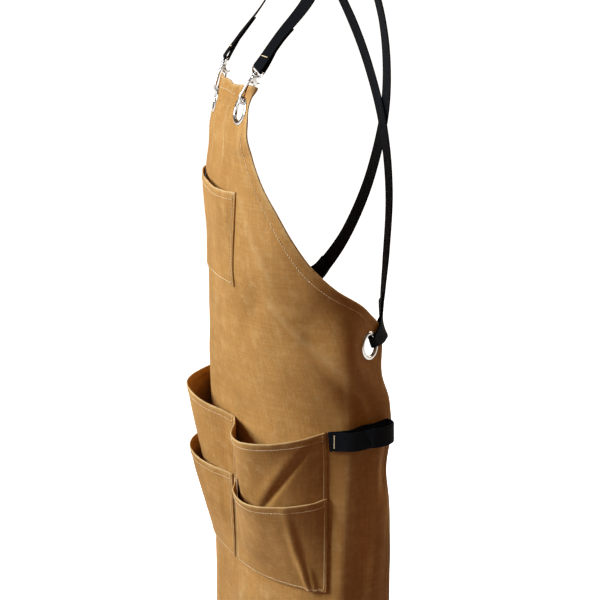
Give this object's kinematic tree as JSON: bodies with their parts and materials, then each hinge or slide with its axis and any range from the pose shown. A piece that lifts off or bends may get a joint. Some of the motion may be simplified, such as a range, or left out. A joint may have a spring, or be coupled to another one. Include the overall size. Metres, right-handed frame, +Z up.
{
  "type": "work apron",
  "caption": "Waxed-canvas work apron in its worn form: curved bib and skirt with chest, lap and front pockets, cross-back webbing straps on swivel snaps, metal grommets and a side tool loop.",
  "frame": {"origin": "midway between the tops of the two shoulder straps, at the level of their undersides, where the apron hangs on the shoulders", "axes": "+Z up, the wearer faces -Y, the wearer's left is +X"},
  "size_m": [0.3529, 0.2634, 0.973],
  "materials": {
    "canvas": "waxed cotton canvas, tan, matt with rubbed wax marks",
    "webbing": "black woven polypropylene webbing",
    "nickel": "polished nickel plate"
  },
  "bodies": {
    "apron": {"panel": "canvas", "chest_pocket": "canvas", "lap_pocket_left": "canvas", "lap_pocket_right": "canvas", "front_pocket_left": "canvas", "front_pocket_right": "canvas", "bib_grommet_left": "nickel", "bib_grommet_right": "nickel", "side_grommet_left": "nickel", "side_grommet_right": "nickel", "snap_eye_left": "nickel", "snap_eye_right": "nickel", "shoulder_strap_left": "webbing", "shoulder_strap_right": "webbing", "tool_loop": "webbing"},
    "hook_left": {"snap_hook_left": "nickel"},
    "hook_right": {"snap_hook_right": "nickel"},
    "trigger_left": {"snap_trigger_left": "nickel"},
    "trigger_right": {"snap_trigger_right": "nickel"}
  },
  "joints": [
    {"name": "swivel_left", "type": "hinge", "parent": "apron", "child": "hook_left", "pos_m": [0.06927, -0.09828, -0.16128], "axis": [0.2331, 0.4951, 0.837], "range_deg": [-18, 18]},
    {"name": "swivel_right", "type": "hinge", "parent": "apron", "child": "hook_right", "pos_m": [-0.07249, -0.09516, -0.15825], "axis": [0.1208, 0.3196, 0.9398], "range_deg": [-18, 18]},
    {"name": "trigger_left_pivot", "type": "hinge", "parent": "hook_left", "child": "trigger_left", "pos_m": [0.06605, -0.09699, -0.17273], "axis": [-0.9627, -0.0041, 0.2705], "range_deg": [0, 10], "stiffness_Nm_per_rad": 0.02, "springref_deg": -17.19},
    {"name": "trigger_right_pivot", "type": "hinge", "parent": "hook_right", "child": "trigger_right", "pos_m": [-0.07226, -0.09182, -0.16974], "axis": [-0.9721, 0.2297, 0.0469], "range_deg": [0, 10], "stiffness_Nm_per_rad": 0.02, "springref_deg": -17.19}
  ]
}
